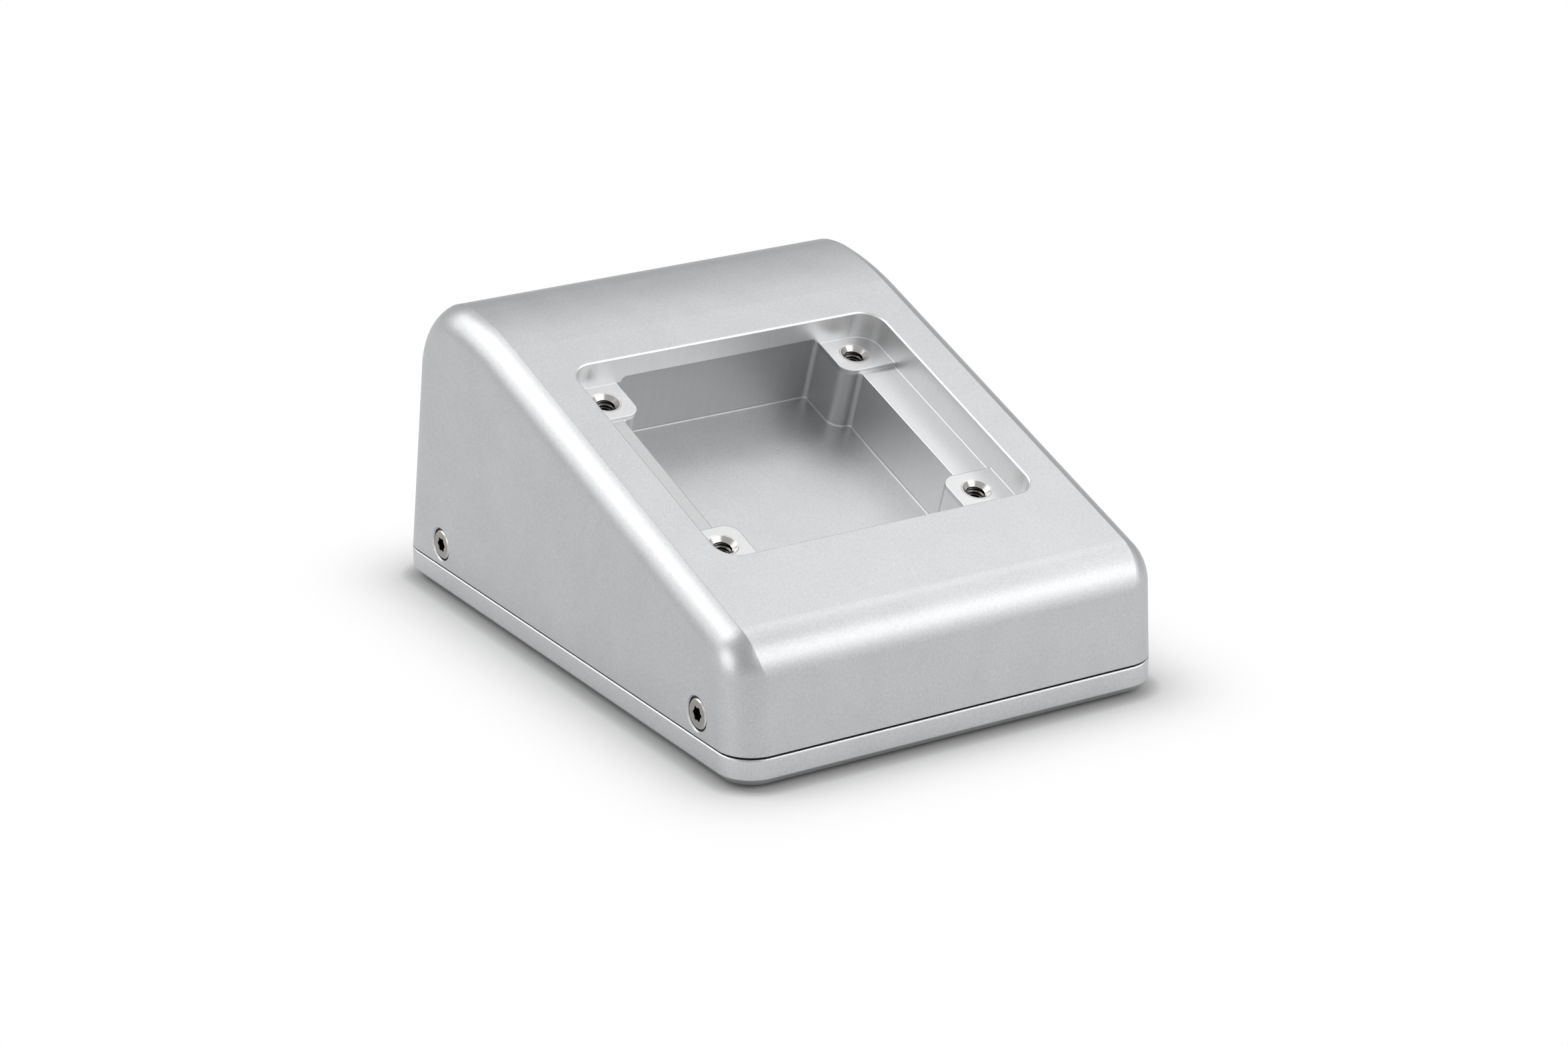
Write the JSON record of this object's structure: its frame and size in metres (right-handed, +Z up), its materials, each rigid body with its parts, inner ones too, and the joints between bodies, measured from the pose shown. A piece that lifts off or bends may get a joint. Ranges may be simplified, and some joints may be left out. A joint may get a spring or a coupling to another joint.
{
  "type": "instrument enclosure",
  "caption": "Wedge-shaped machined aluminium enclosure with a stepped, screw-down recess in its sloping top, a bevelled base plate and low rubber feet.",
  "frame": {"origin": "on the surface the enclosure stands on, under the middle of its footprint", "axes": "+Z up; -Y towards the low front, +Y towards the tall rear; +X to the right as seen from the front"},
  "size_m": [0.1, 0.141, 0.0656],
  "materials": {
    "housing": "bead-blasted and clear anodised",
    "base_plate": "bead-blasted and clear anodised",
    "insert_steel": "turned, bright",
    "screw_steel": "stainless, plain",
    "block_aluminium": "as machined",
    "rubber": "matt black"
  },
  "bodies": {
    "root": {"housing": "housing", "base_plate": "base_plate", "threaded_inserts": "insert_steel", "side_screws": "screw_steel", "block_screws": "screw_steel", "fixing_block_front_left": "block_aluminium", "fixing_block_front_right": "block_aluminium", "fixing_block_rear_left": "block_aluminium", "fixing_block_rear_right": "block_aluminium", "foot_front_left": "rubber", "foot_front_right": "rubber", "foot_rear_left": "rubber", "foot_rear_right": "rubber"}
  },
  "joints": []
}
